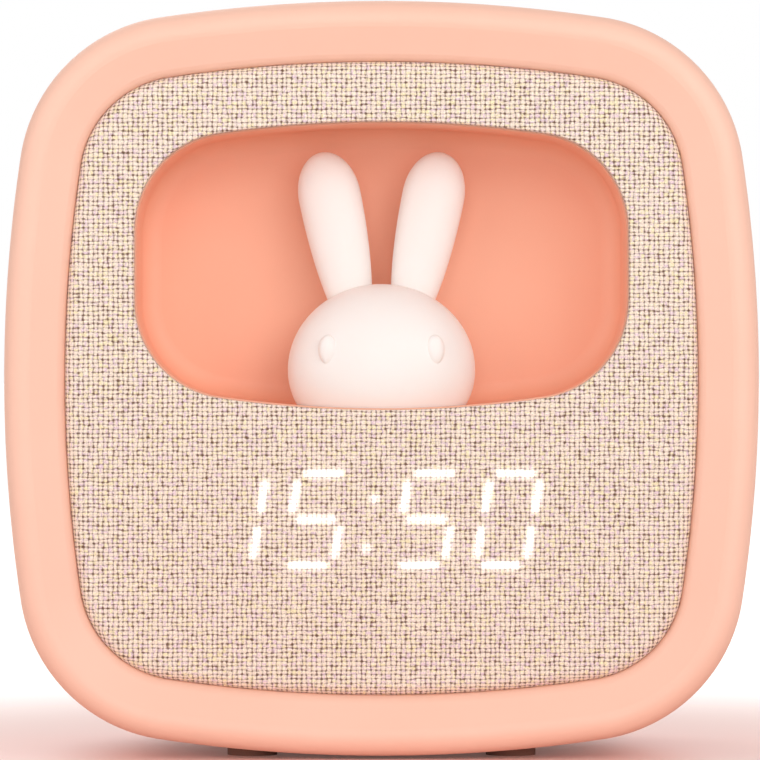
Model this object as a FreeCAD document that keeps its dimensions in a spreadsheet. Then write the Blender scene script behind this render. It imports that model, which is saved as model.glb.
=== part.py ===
import FreeCAD, Part
import math
import os
import re
import Sketcher

# Kids alarm clock with a rabbit night light behind a window in its cloth front.
# Millimetres, +Z up, +X to the reader's right, front towards -Y.
# The origin is the middle of the footprint, on the surface that the clock stands on.

doc = FreeCAD.newDocument("KidsAlarmClock")
sheet = doc.addObject("Spreadsheet::Sheet", "Sizes")

# Driving sizes, each written once
SIZES = {
    # Case outline and shells
    "case_width": 150.0,
    "case_height": 150.0,
    "case_depth": 80.0,
    "case_side_radius": 298.0,
    "case_corner_radius": 32.8,
    "case_wall": 2.2,
    "foot_stand": 0.7,
    "front_shell_depth": 26.0,
    "lap_depth": 3.0,
    "lap_wall": 1.0,
    "lap_gap": 0.1,
    "lap_land": 0.4,
    "root_sink": 0.1,
    # Rim round the cloth
    "rim_round": 3.8,
    "rim_inner_round": 2.6,
    "rim_width": 12.1,
    "rim_drop": 3.3,
    "rim_skin": 2.2,
    "rim_throat": 2.2,
    "shelf_setback": 11.8,
    "shelf_width": 9.9,
    "shelf_thickness": 2.2,
    # Rear shell
    "rear_round": 12.0,
    "rear_wall": 2.4,
    # Front panel and its cloth
    "cloth_setback": 2.4,
    "cloth_thickness": 0.6,
    "cloth_gap": 0.3,
    "cloth_side_gap": 0.3,
    "panel_thickness": 2.5,
    "panel_round": 3.6,
    "panel_skirt": 2.0,
    "panel_inner_round": 1.1,
    "panel_post_gap": 0.4,
    "panel_post_spread": 28.0,
    "panel_post_drop": 12.0,
    # Window into the bowl
    "window_half_width": 48.9,
    "window_half_height": 28.4,
    "window_up": 22.4,
    "window_side_radius": 900.0,
    "window_top_radius": 223.0,
    "window_corner_radius": 19.4,
    "window_edge_gap": 0.3,
    "collar_relief": 0.02,
    # Bowl of the night light
    "niche_depth": 30.0,
    "niche_wall": 1.6,
    "niche_round": 4.0,
    "niche_ear_reach": 7.0,
    "niche_ear_height": 8.0,
    "niche_ear_thickness": 1.7,
    "niche_ear_spread": 6.0,
    "niche_screw_inset": 3.2,
    "niche_boss_length": 2.5,
    "niche_post_sink": 2.2,
    # Rabbit
    "head_half_width": 18.9,
    "head_half_depth": 11.0,
    "head_rise": 17.3,
    "head_drop": 16.4,
    "head_above_sill": 7.7,
    "head_front_gap": 5.1,
    "silicone_wall": 2.2,
    "ear_lean": 11.5,
    "ear_spread": 10.5,
    "ear_top_above_head": 35.2,
    "ear_half_width": 6.3,
    "ear_half_thickness": 3.6,
    "ear_tip_rise": 9.0,
    "ear_root_length": 30.0,
    "ear_setback": 4.0,
    "eye_spread": 10.7,
    "eye_above_head": 4.0,
    "eye_half_width": 1.9,
    "eye_half_height": 3.0,
    "eye_half_depth": 1.1,
    "eye_setback": 2.5,
    "base_half_width": 21.5,
    "base_half_depth": 11.6,
    "base_thickness": 1.5,
    "base_gap": 0.3,
    # Display
    "figure_height": 20.3,
    "figure_width": 11.8,
    "figure_stroke": 1.9,
    "figure_slant": 9.6,
    "figure_pitch": 16.2,
    "colon_pitch": 22.0,
    "colon_dot": 2.1,
    "colon_rise": 4.9,
    "segment_gap": 0.5,
    "segment_depth": 7.0,
    "segment_clearance": 0.05,
    "display_up": -28.0,
    "display_aside": -2.05,
    "frame_side_margin": 4.0,
    "frame_top_margin": 2.4,
    "frame_depth": 8.0,
    "frame_gap": 0.3,
    "board_thickness": 1.6,
    "display_board_margin": 6.0,
    "display_board_rise": 2.2,
    # Fasteners
    "screw_shank_radius": 1.25,
    "screw_head_radius": 2.4,
    "screw_head_height": 1.2,
    "screw_hole_radius": 1.5,
    "pilot_gap": 0.1,
    "post_radius": 3.0,
    "driver_slot_width": 0.6,
    "driver_slot_depth": 0.6,
    "case_screw_inset": 25.0,
    "case_screw_length": 12.0,
    "case_screw_head_radius": 3.0,
    "case_screw_head_height": 2.0,
    "case_screw_well": 18.0,
    "case_post_radius": 4.6,
    "case_post_gap": 0.3,
    # Controls on the back
    "recess_up": 28.0,
    "recess_width": 92.0,
    "recess_height": 38.0,
    "recess_corner": 7.0,
    "recess_depth": 1.6,
    "button_radius": 4.6,
    "button_pitch": 16.0,
    "button_row_drop": 8.0,
    "button_proud": 1.2,
    "button_travel": 0.6,
    "button_gap": 0.3,
    "button_flange": 1.6,
    "button_flange_thickness": 1.0,
    "button_round": 0.5,
    "button_stem_radius": 1.6,
    "top_button_half_length": 17.0,
    "top_button_rise": 9.0,
    "switch_size": 6.0,
    "switch_height": 3.6,
    "plunger_radius": 1.7,
    "plunger_length": 2.8,
    "plunger_proud": 1.4,
    "button_board_width": 92.0,
    "button_board_height": 36.0,
    "board_post_inset": 3.6,
    # Lower board, socket and alarm switch
    "main_board_up": -49.0,
    "main_board_width": 90.0,
    "main_board_height": 25.0,
    "port_up": -47.0,
    "port_aside": -22.0,
    "socket_half_width": 4.5,
    "socket_half_height": 1.6,
    "socket_skin": 0.35,
    "socket_floor": 1.0,
    "socket_inset": 0.8,
    "socket_gap": 0.3,
    "socket_tongue_half_width": 3.3,
    "socket_tongue_half_height": 0.35,
    "socket_tongue_inset": 1.0,
    "slider_aside": 22.0,
    "slider_travel": 3.0,
    "slider_half_width": 2.4,
    "slider_half_height": 1.7,
    "slider_gap": 0.3,
    "slider_wall": 1.6,
    "slider_stem_depth": 1.5,
    "slider_rib_depth": 0.35,
    "slider_rib_half": 0.25,
    "slider_rib_pitch": 1.4,
    "slider_stem_half": 1.0,
    "slider_well_depth": 1.8,
    "slider_switch_width": 14.0,
    "slider_switch_height": 6.0,
    "slider_switch_depth": 4.5,
    "chip_size": 9.0,
    "chip_gap": 1.0,
    "chip_drop": 3.0,
    "chip_height": 1.2,
    "small_chip_width": 5.0,
    "small_chip_length": 6.4,
    # Battery
    "cell_radius": 9.2,
    "cell_length": 65.0,
    "cell_gap": 0.3,
    "cradle_wall": 1.6,
    "cradle_end": 3.0,
    "cell_cap_radius": 3.6,
    "cell_cap_length": 1.2,
    "contact_half_width": 4.0,
    # Loudspeaker
    "speaker_up": -15.0,
    "speaker_radius": 20.0,
    "speaker_ear_sink": 0.6,
    "basket_gap": 1.0,
    "speaker_flange_thickness": 1.2,
    "speaker_basket_radius": 17.0,
    "speaker_throat_radius": 11.0,
    "speaker_basket_depth": 7.0,
    "speaker_skin": 0.8,
    "speaker_seat": 1.2,
    "speaker_ear": 4.0,
    "magnet_radius": 10.5,
    "magnet_thickness": 5.0,
    "cone_surround_radius": 16.4,
    "cone_coil_radius": 6.0,
    "cone_depth": 5.0,
    "cone_paper": 0.5,
    "grille_hole_radius": 1.0,
    "grille_ring_pitch": 4.2,
    # Lamp under the rabbit
    "lamp_half_width": 28.0,
    "lamp_half_depth": 8.5,
    "lamp_screw_spread": 25.0,
    "led_size": 4.6,
    "led_height": 1.4,
    "led_pitch": 6.0,
    # Feet
    "foot_radius": 5.0,
    "foot_sink": 1.0,
    "foot_spread": 26.0,
    "front_foot_setback": 17.0,
    "rear_foot_setback": 58.0,
    # Inner leads
    "lead_radius": 0.9,
}

# Grille holes: how many stand in each ring, from the middle outwards
GRILLE_RINGS = (1, 6, 12, 18)

for row, (alias, number) in enumerate(SIZES.items(), start=1):
    sheet.set(f"A{row}", alias)
    sheet.set(f"B{row}", str(number))
    sheet.setAlias(f"B{row}", alias)
doc.recompute()

# Places and sizes that follow from the driving ones.
# Depths are measured along Y from the middle of the case, heights from its centre.
FOLLOWING = {
    "case_middle_up": "foot_stand + case_height / 2",
    "crest": "-case_depth / 2",
    "rear_plane": "case_depth / 2",
    "seam": "crest + front_shell_depth",
    "round_to_edge": "rim_width - rim_round",
    "round_over_drop": "rim_round - rim_drop",
    "rim_lean": "(rim_round * sqrt(round_over_drop^2 + round_to_edge^2 - rim_round^2)"
                " - round_over_drop * round_to_edge) / (round_to_edge^2 - rim_round^2)",
    "rim_start": "crest + rim_drop - rim_width * rim_lean",
    "shelf_front": "crest + shelf_setback",
    "shelf_back": "shelf_front + shelf_thickness",
    "shelf_inset": "rim_width + shelf_width",
    "cloth_front": "crest + cloth_setback",
    "panel_front": "cloth_front + cloth_thickness + cloth_gap",
    "panel_back": "panel_front + panel_thickness",
    "cloth_inset": "rim_width + cloth_side_gap",
    "panel_inset": "cloth_inset + cloth_thickness + cloth_gap",
    "panel_post_inset": "panel_inset + panel_skirt + panel_post_gap + post_radius",
    "cloth_round": "panel_round + cloth_thickness + cloth_gap",
    "window_cloth": "window_edge_gap + cloth_thickness",
    "window_cut": "window_cloth + cloth_gap",
    "niche_back": "cloth_front + niche_depth",
    "niche_ears_front": "panel_back + niche_boss_length",
    "niche_ears_back": "niche_ears_front + niche_ear_thickness",
    "niche_screw_aside": "window_half_width + niche_wall + niche_ear_reach - niche_screw_inset",
    "sill_up": "window_up - window_half_height",
    "head_up": "sill_up + head_above_sill",
    "head_middle": "cloth_front + head_front_gap + head_half_depth",
    "floor_under": "sill_up - niche_wall",
    "base_top": "floor_under - base_gap",
    "lamp_top": "base_top - base_thickness",
    "lamp_bottom": "lamp_top - board_thickness",
    "frame_front": "panel_front",
    "frame_back": "frame_front + frame_depth",
    "display_board_back": "frame_back + board_thickness",
    "figure_block_width": "figure_pitch + colon_pitch + figure_pitch + figure_width",
    "frame_width": "figure_block_width + 2 * frame_side_margin",
    "frame_height": "figure_height + 2 * frame_top_margin",
    "display_board_width": "frame_width + 2 * display_board_margin",
    "display_board_height": "frame_height + 2 * display_board_rise",
    "display_post_aside": "frame_width / 2 + post_radius + frame_gap",
    "display_post_rise": "frame_height / 2 - post_radius",
    "recess_floor": "rear_plane - recess_depth",
    "recess_inside": "recess_floor - rear_wall",
    "wall_inside": "rear_plane - rear_wall",
    "button_top": "recess_floor + button_proud",
    "button_flange_back": "recess_inside - button_gap",
    "button_flange_front": "button_flange_back - button_flange_thickness",
    "plunger_top": "button_flange_front - button_stem_length",
    "button_stem_length": "plunger_proud - button_travel + button_gap",
    "switch_top": "plunger_top - plunger_proud",
    "board_rear": "switch_top - switch_height",
    "board_front": "board_rear - board_thickness",
    "pilot_radius": "screw_shank_radius + pilot_gap",
    "cell_middle": "board_front - cradle_wall - cell_gap - cell_radius",
    "cell_up": "main_board_up",
    "speaker_face": "wall_inside - speaker_seat",
    "slider_floor": "rear_plane - slider_well_depth",
    "foot_bulge": "case_side_radius - sqrt(case_side_radius ^ 2 - foot_spread ^ 2)",
    "foot_top": "foot_stand + foot_bulge + foot_sink",
}

WORDS = set(SIZES) | set(FOLLOWING)


def full(expression):
    """The expression with every size replaced by its cell."""
    def cell(word):
        name = word.group()
        if name in FOLLOWING:
            return "(" + full(FOLLOWING[name]) + ")"
        return "Sizes." + name if name in SIZES else name
    return re.sub(r"[a-z][a-z_]*", cell, str(expression))


def value(expression):
    """The number that an expression stands for, in millimetres or degrees."""
    return float(sheet.evalExpression(full(expression)))


def bind(thing, **properties):
    for name, expression in properties.items():
        thing.setExpression(name.replace("__", "."), full(expression))


# Bodies, sketches and features

def new_body(label, aside="0", back="0", up="case_middle_up"):
    """A sub-part drawn about the case's middle, or about the place that is given."""
    body = doc.addObject("PartDesign::Body", label)
    body.Label = label
    body.AllowCompound = True
    bind(body, Placement__Base__x=aside, Placement__Base__y=back, Placement__Base__z=up)
    return body


def new_sketch(body, plane, away, aside="0", up="0"):
    """A sketch on one of the body's own planes, moved along the plane's normal by away."""
    sketch = body.newObject("Sketcher::SketchObject", body.Label + "_outline")
    origin_plane = [item for item in body.Origin.OriginFeatures if item.Role == plane][0]
    sketch.AttachmentSupport = (origin_plane, "")
    sketch.MapMode = "FlatFace"
    bind(sketch, AttachmentOffset__Base__x=aside, AttachmentOffset__Base__y=up,
         AttachmentOffset__Base__z=away)
    return sketch


def facing_sketch(body, depth, aside="0", up="0"):
    """A sketch seen from the front, at a depth along Y."""
    return new_sketch(body, "XZ_Plane", f"-({depth})", aside, up)


def lying_sketch(body, height, aside="0", back="0"):
    """A sketch seen from above, at a height."""
    return new_sketch(body, "XY_Plane", height, aside, back)


def size_constraint(sketch, kind, places, expression):
    index = sketch.addConstraint(Sketcher.Constraint(kind, *places, value(expression)))
    sketch.setExpression(f"Constraints[{index}]", full(expression))


def locate(sketch, item, point, x, y):
    """Hold a point at x, y from the sketch's origin, whatever the sign."""
    for kind, axis, expression in (("DistanceX", -2, x), ("DistanceY", -1, y)):
        number = value(expression)
        if abs(number) < 1e-9:
            sketch.addConstraint(Sketcher.Constraint("PointOnObject", item, point, axis))
        elif number > 0:
            size_constraint(sketch, kind, (-1, 1, item, point), expression)
        else:
            size_constraint(sketch, kind, (item, point, -1, 1), f"-({expression})")


def circles(sketch, centres, radius):
    for x, y in centres:
        centre = FreeCAD.Vector(value(x), value(y), 0)
        item = sketch.addGeometry(Part.Circle(centre, FreeCAD.Vector(0, 0, 1), value(radius)))
        locate(sketch, item, 3, x, y)
        size_constraint(sketch, "Radius", (item,), radius)


def polygon(sketch, corners):
    points = [FreeCAD.Vector(value(x), value(y), 0) for x, y in corners]
    lines = [sketch.addGeometry(Part.LineSegment(start, end))
             for start, end in zip(points, points[1:] + points[:1])]
    for line, following in zip(lines, lines[1:] + lines[:1]):
        sketch.addConstraint(Sketcher.Constraint("Coincident", line, 2, following, 1))
    for line, (x, y) in zip(lines, corners):
        locate(sketch, line, 1, x, y)


def rectangle(sketch, half_width, half_height, x="0", y="0"):
    left, right = f"({x}) - ({half_width})", f"({x}) + ({half_width})"
    low, high = f"({y}) - ({half_height})", f"({y}) + ({half_height})"
    polygon(sketch, [(left, low), (right, low), (right, high), (left, high)])


def pill(sketch, half_length, radius):
    """A slot shape lying along the sketch's X axis."""
    reach, r = value(half_length) - value(radius), value(radius)
    up = FreeCAD.Vector(0, 0, 1)
    ends = []
    for x, start in ((reach, -90), (-reach, 90)):
        circle = Part.Circle(FreeCAD.Vector(x, 0, 0), up, r)
        turn = math.radians(start)
        ends.append(sketch.addGeometry(Part.ArcOfCircle(circle, turn, turn + math.pi)))
    right, left = ends
    tops = (FreeCAD.Vector(reach, r, 0), FreeCAD.Vector(-reach, r, 0))
    lows = (FreeCAD.Vector(-reach, -r, 0), FreeCAD.Vector(reach, -r, 0))
    top = sketch.addGeometry(Part.LineSegment(*tops))
    low = sketch.addGeometry(Part.LineSegment(*lows))
    for one, other in ((right, top), (top, left), (left, low), (low, right)):
        sketch.addConstraint(Sketcher.Constraint("Tangent", one, 2, other, 1))
    sketch.addConstraint(Sketcher.Constraint("PointOnObject", right, 3, -1))
    sketch.addConstraint(Sketcher.Constraint("Equal", right, left))
    size_constraint(sketch, "Radius", (right,), radius)
    size_constraint(sketch, "DistanceX", (-1, 1, right, 3), f"({half_length}) - ({radius})")
    size_constraint(sketch, "DistanceX", (left, 3, -1, 1), f"({half_length}) - ({radius})")


def bulged(sketch, half_width, half_height, side, top, corner):
    """A rounded square whose four sides bulge: four wide arcs and four corner arcs."""
    a, b, r = value(half_width), value(half_height), value(corner)
    side_reach, top_reach = value(side) - r, value(top) - r
    side_x, top_y = a - value(side), b - value(top)
    span = math.hypot(side_x, top_y)
    along = (side_reach ** 2 - top_reach ** 2 + span ** 2) / (2 * span)
    off = math.sqrt(side_reach ** 2 - along ** 2)
    x = side_x - along * side_x / span - off * top_y / span
    y = along * top_y / span - off * side_x / span
    side_turn = math.atan2(y, x - side_x)
    top_turn = math.atan2(y - top_y, x)
    quarter = math.pi / 2
    arcs = [
        ((side_x, 0), side, -side_turn, side_turn),
        ((x, y), corner, side_turn, top_turn),
        ((0, top_y), top, top_turn, 2 * quarter - top_turn),
        ((-x, y), corner, 2 * quarter - top_turn, 2 * quarter - side_turn),
        ((-side_x, 0), side, 2 * quarter - side_turn, 2 * quarter + side_turn),
        ((-x, -y), corner, 2 * quarter + side_turn, 2 * quarter + top_turn),
        ((0, -top_y), top, -2 * quarter + top_turn, -top_turn),
        ((x, -y), corner, -top_turn, -side_turn),
    ]
    items = []
    for (centre_x, centre_y), radius, start, end in arcs:
        centre = FreeCAD.Vector(centre_x, centre_y, 0)
        circle = Part.Circle(centre, FreeCAD.Vector(0, 0, 1), value(radius))
        items.append(sketch.addGeometry(Part.ArcOfCircle(circle, start, end)))
    for item, following in zip(items, items[1:] + items[:1]):
        sketch.addConstraint(Sketcher.Constraint("Tangent", item, 2, following, 1))
    right, first_corner, upper, _, left, _, lower, _ = items
    for item in (right, left):
        sketch.addConstraint(Sketcher.Constraint("PointOnObject", item, 3, -1))
    for item in (upper, lower):
        sketch.addConstraint(Sketcher.Constraint("PointOnObject", item, 3, -2))
    for item in items[3::2]:
        sketch.addConstraint(Sketcher.Constraint("Equal", first_corner, item))
    for item, radius in ((right, side), (left, side), (upper, top), (lower, top),
                         (first_corner, corner)):
        size_constraint(sketch, "Radius", (item,), radius)
    from_side, from_top = f"({side}) - ({half_width})", f"({top}) - ({half_height})"
    size_constraint(sketch, "DistanceX", (right, 3, -1, 1), from_side)
    size_constraint(sketch, "DistanceX", (-1, 1, left, 3), from_side)
    size_constraint(sketch, "DistanceY", (upper, 3, -1, 1), from_top)
    size_constraint(sketch, "DistanceY", (-1, 1, lower, 3), from_top)


def case_outline(sketch, inset):
    """The case's outline, moved inwards."""
    bulged(sketch, f"case_width / 2 - ({inset})", f"case_height / 2 - ({inset})",
           f"case_side_radius - ({inset})", f"case_side_radius - ({inset})",
           f"case_corner_radius - ({inset})")


def window_outline(sketch, outset):
    """The window's outline, moved outwards. The sketch's origin is the window's centre."""
    bulged(sketch, f"window_half_width + ({outset})", f"window_half_height + ({outset})",
           f"window_side_radius + ({outset})", f"window_top_radius + ({outset})",
           f"window_corner_radius + ({outset})")


def feature(body, kind, sketch, length, against=False):
    """A pad or a pocket of one sketch. Against the sketch's normal, which faces -Y or +Z."""
    before = body.Tip.Shape.Volume if kind == "Pocket" else 0
    made = body.newObject("PartDesign::" + kind, body.Label + "_" + kind.lower())
    made.Profile = sketch
    bind(made, Length=length)
    made.Reversed = against if kind == "Pad" else not against
    doc.recompute()
    if kind == "Pocket" and body.Shape.Volume >= before - 1e-6:
        print("cuts nothing:", body.Label, made.Name, sketch.Name)
    return made


def plate(body, front, back, draw, *sizes, cut=False, aside="0", up="0"):
    """Material, or with cut a hole, between two depths along Y, with a drawn outline."""
    sketch = facing_sketch(body, front, aside, up)
    draw(sketch, *sizes)
    return feature(body, "Pocket" if cut else "Pad", sketch, f"({back}) - ({front})", against=True)


def slab(body, low, high, draw, *sizes, cut=False, aside="0", back="0"):
    """Material, or with cut a hole, between two heights, with a drawn outline."""
    sketch = lying_sketch(body, low, aside, back)
    draw(sketch, *sizes)
    return feature(body, "Pocket" if cut else "Pad", sketch, f"({high}) - ({low})")


def cut_slope(body, front, back, front_inset, back_inset):
    """Cut a sloping ring face between two insets of the case's outline."""
    sketches = []
    for depth, inset in ((front, front_inset), (back, back_inset)):
        sketch = facing_sketch(body, depth)
        case_outline(sketch, inset)
        sketches.append(sketch)
    doc.recompute()
    made = body.newObject("PartDesign::SubtractiveLoft", body.Label + "_slope")
    made.Profile = sketches[0]
    made.Sections = [sketches[1]]
    made.Ruled = True
    doc.recompute()
    return made


def flat_edges(shape, depth, least, most):
    """Names of the edges in the plane at a depth, no nearer or further out than given."""
    names = []
    for number, edge in enumerate(shape.Edges, start=1):
        first, last = edge.FirstParameter, edge.LastParameter
        ends_and_middle = [edge.valueAt(place) for place in (first, (first + last) / 2, last)]
        middle = ends_and_middle[1]
        level = all(abs(point.y - depth) < 1e-4 for point in ends_and_middle)
        if level and least < math.hypot(middle.x, middle.z) < most:
            names.append(f"Edge{number}")
    return names


def round_edges(body, names, radius):
    base = body.Tip
    made = body.newObject("PartDesign::Fillet", body.Label + "_round")
    made.Base = (base, names)
    bind(made, Radius=radius)
    doc.recompute()
    return made


def ellipsoid(body, kind, radii, centre, lower=False, lean="0", whole=False):
    """Half an egg, its upper or lower half, leaning about the Y axis by lean degrees."""
    made = body.newObject(f"PartDesign::{kind}Ellipsoid", body.Label + "_egg")
    bind(made, Radius1=radii[2], Radius2=radii[0], Radius3=radii[1])
    made.Angle1 = -90 if lower or whole else 0
    made.Angle2 = 90 if whole or not lower else 0
    bind(made, AttachmentOffset__Base__x=centre[0], AttachmentOffset__Base__y=centre[1],
         AttachmentOffset__Base__z=centre[2])
    xy_plane = [item for item in body.Origin.OriginFeatures if item.Role == "XY_Plane"][0]
    made.AttachmentSupport = (xy_plane, "")
    made.MapMode = "FlatFace"
    made.AttachmentOffset = FreeCAD.Placement(
        made.AttachmentOffset.Base, FreeCAD.Rotation(FreeCAD.Vector(0, 1, 0), 0))
    bind(made, AttachmentOffset__Rotation__Angle=lean)
    doc.recompute()
    return made


def corners(aside, rise, up="0", middle="0"):
    """Four places about a middle."""
    return [(f"{x}({aside}) + ({middle})", f"{z}({rise}) + ({up})")
            for x in ("", "-") for z in ("", "-")]


def screws(label, places, seat, reach, head="screw", up="case_middle_up"):
    """Pan-head screws along Y, with one driver slot. Seat is under the heads."""
    forward = value(reach) < value(seat)
    body = new_body(label, up=up)
    radius = "case_screw_head_radius" if head == "case" else "screw_head_radius"
    height = "case_screw_head_height" if head == "case" else "screw_head_height"
    outer = f"{seat} + {height}" if forward else f"{seat} - {height}"
    low, high = (seat, outer) if forward else (outer, seat)
    plate(body, low, high, circles, places, radius)
    low, high = (reach, seat) if forward else (seat, reach)
    plate(body, low, high, circles, places, "screw_shank_radius")
    inner = f"{outer} - driver_slot_depth" if forward else f"{outer} + driver_slot_depth"
    low, high = (inner, outer) if forward else (outer, inner)
    for x, z in places:
        plate(body, low, high, rectangle, f"{radius} * 0.75", "driver_slot_width / 2", x, z,
              cut=True)
    return body


# Places of the fasteners, from the case's centre
CASE_SCREWS = corners("case_width / 2 - case_screw_inset", "case_height / 2 - case_screw_inset")
PANEL_SCREWS = [(f"{side}(case_width / 2 - panel_post_inset)", "-panel_post_drop")
                for side in ("", "-")]
PANEL_SCREWS += corners("panel_post_spread", "case_height / 2 - panel_post_inset")
NICHE_SCREWS = corners("niche_screw_aside", "niche_ear_spread", "window_up")
DISPLAY_SCREWS = corners("display_post_aside", "display_post_rise", "display_up",
                         "display_aside")
BUTTON_BOARD_SCREWS = corners("button_board_width / 2 - board_post_inset",
                              "button_board_height / 2 - board_post_inset", "recess_up")
MAIN_BOARD_SCREWS = corners("main_board_width / 2 - board_post_inset",
                            "main_board_height / 2 - board_post_inset", "main_board_up")
SPEAKER_EAR = "speaker_radius + screw_head_radius - speaker_ear_sink"
SPEAKER_SCREWS = [(f"{side}({SPEAKER_EAR})", "speaker_up") for side in ("", "-")]
ROUND_BUTTONS = {"alarm_button": -2, "time_button": -1, "minus_button": 0, "plus_button": 1,
                 "volume_button": 2}
BUTTON_ROW_UP = "recess_up - button_row_drop"
TOP_BUTTON_UP = "recess_up + top_button_rise"
BUTTON_PLACES = [(f"{place} * button_pitch", BUTTON_ROW_UP) for place in ROUND_BUTTONS.values()]
BUTTON_PLACES.append(("0", TOP_BUTTON_UP))


def front_case():
    """Rim and side wall. The rim slopes inwards to the throat that holds the padded front."""
    body = new_body("front_case")
    plate(body, "rim_start", "seam", case_outline, "0")
    cut_slope(body, "rim_start", "crest + rim_drop", "0", "rim_width")
    half = value("case_width / 2")
    round_edges(body, flat_edges(body.Tip.Shape, value("rim_start"), 0.9 * half, 2 * half),
                "rim_round")
    plate(body, "crest + rim_drop", "shelf_front", case_outline, "rim_width", cut=True)
    round_edges(body, flat_edges(body.Tip.Shape, value("crest + rim_drop"), 0, 2 * half),
                "rim_inner_round")
    plate(body, "shelf_front", "shelf_back", case_outline, "shelf_inset", cut=True)
    plate(body, "shelf_back", "seam", case_outline, "case_wall", cut=True)
    sketch = facing_sketch(body, "crest + rim_drop + rim_skin")
    case_outline(sketch, "case_wall")
    case_outline(sketch, "rim_width - rim_throat")
    feature(body, "Pocket", sketch, "shelf_back - (crest + rim_drop + rim_skin)", against=True)
    plate(body, "seam - lap_depth", "seam", case_outline, "lap_wall + lap_gap / 2", cut=True)
    plate(body, "shelf_front", "seam - case_post_gap", circles, CASE_SCREWS, "case_post_radius")
    plate(body, "seam - case_post_gap - case_screw_length", "seam - case_post_gap", circles,
          CASE_SCREWS, "pilot_radius", cut=True)
    plate(body, "shelf_front", "shelf_back", circles, PANEL_SCREWS, "screw_hole_radius", cut=True)
    feet_seats(body, "front_foot_setback")
    return body


def rear_case():
    """Back shell with the control recess, the grille, the socket and slider holes."""
    body = new_body("rear_case")
    plate(body, "seam", "rear_plane", case_outline, "0")
    plate(body, "seam", "wall_inside", case_outline, "case_wall", cut=True)
    half = value("case_width / 2")
    round_edges(body, flat_edges(body.Tip.Shape, value("wall_inside"), 0.8 * half, 2 * half),
                "rear_round - rear_wall")
    round_edges(body, flat_edges(body.Tip.Shape, value("rear_plane"), 0.9 * half, 2 * half),
                "rear_round")
    sketch = facing_sketch(body, "seam - lap_depth + lap_gap")
    case_outline(sketch, "lap_wall + lap_gap * 1.5")
    case_outline(sketch, "case_wall + lap_land")
    feature(body, "Pad", sketch, "lap_depth - lap_gap + case_wall", against=True)
    # Walls behind the two sunk places, and posts for boards, loudspeaker and shell screws
    plate(body, "recess_inside", "wall_inside + root_sink", rounded_recess, "rear_wall",
          up="recess_up")
    plate(body, "slider_floor - rear_wall", "wall_inside + root_sink", rectangle,
          "slider_half_width + slider_travel / 2 + 2 * slider_gap + slider_wall",
          "slider_half_height + slider_gap + slider_wall",
          aside="slider_aside + slider_travel / 2", up="port_up")
    plate(body, "board_rear", "recess_inside + root_sink", circles, BUTTON_BOARD_SCREWS, "post_radius")
    plate(body, "board_rear", "wall_inside + root_sink", circles, MAIN_BOARD_SCREWS, "post_radius")
    plate(body, "speaker_face", "wall_inside + root_sink", circles, SPEAKER_SCREWS, "post_radius")
    plate(body, "seam", "rear_plane - rear_wall", circles, CASE_SCREWS, "case_post_radius")
    cut_rear_openings(body)
    feet_seats(body, "rear_foot_setback")
    return body


def rounded_recess(sketch, outset):
    bulged(sketch, f"recess_width / 2 + ({outset})", f"recess_height / 2 + ({outset})",
           "case_side_radius * 8", "case_side_radius * 8", f"recess_corner + ({outset})")


def cut_rear_openings(body):
    """Every hole in the rear shell, cut after its walls and posts stand."""
    plate(body, "recess_floor", "rear_plane", rounded_recess, "0", cut=True, up="recess_up")
    plate(body, "recess_inside", "recess_floor", circles, BUTTON_PLACES[:-1],
          "button_radius + button_gap", cut=True)
    plate(body, "recess_inside", "recess_floor", pill, "top_button_half_length + button_gap",
          "button_radius + button_gap", cut=True, up=TOP_BUTTON_UP)
    plate(body, "wall_inside", "rear_plane", bulged_socket, "socket_gap", cut=True,
          aside="port_aside", up="port_up")
    middle = "slider_aside + slider_travel / 2"
    plate(body, "slider_floor", "rear_plane", rectangle,
          "slider_half_width + slider_travel / 2 + 2 * slider_gap",
          "slider_half_height + slider_gap", cut=True, aside=middle, up="port_up")
    plate(body, "slider_floor - rear_wall", "slider_floor", rectangle,
          "slider_stem_half + slider_travel / 2 + slider_gap", "slider_stem_half + slider_gap",
          cut=True, aside=middle, up="port_up")
    for ring, count in enumerate(GRILLE_RINGS):
        turn = 2 * math.pi / count
        holes = [(f"{ring} * grille_ring_pitch * {math.cos(turn * hole):.6f}",
                  f"speaker_up + {ring} * grille_ring_pitch * {math.sin(turn * hole):.6f}")
                 for hole in range(count)]
        plate(body, "wall_inside", "rear_plane", circles, holes, "grille_hole_radius", cut=True)
    plate(body, "board_rear", "recess_inside", circles, BUTTON_BOARD_SCREWS, "pilot_radius",
          cut=True)
    plate(body, "board_rear", "wall_inside", circles, MAIN_BOARD_SCREWS, "pilot_radius",
          cut=True)
    plate(body, "speaker_face", "wall_inside + rear_wall / 2", circles, SPEAKER_SCREWS,
          "pilot_radius", cut=True)
    plate(body, "seam", "rear_plane", circles, CASE_SCREWS, "screw_hole_radius", cut=True)
    plate(body, "rear_plane - case_screw_well", "rear_plane", circles, CASE_SCREWS,
          "case_screw_head_radius + button_gap", cut=True)


def bulged_socket(sketch, outset):
    pill(sketch, f"socket_half_width + ({outset})", f"socket_half_height + ({outset})")


def foot_places(setback):
    return [(f"{side}foot_spread", f"crest + {setback}") for side in ("", "-")]


def feet_seats(body, setback):
    """Round flat-topped sockets in the underside for the two feet at one depth."""
    slab(body, "-case_middle_up", "foot_top - case_middle_up", circles, foot_places(setback),
         "foot_radius + lap_gap", cut=True)


def rubber_feet():
    body = new_body("rubber_feet", up="0")
    for setback in ("front_foot_setback", "rear_foot_setback"):
        slab(body, "0", "foot_top", circles, foot_places(setback), "foot_radius")
    return body


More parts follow.
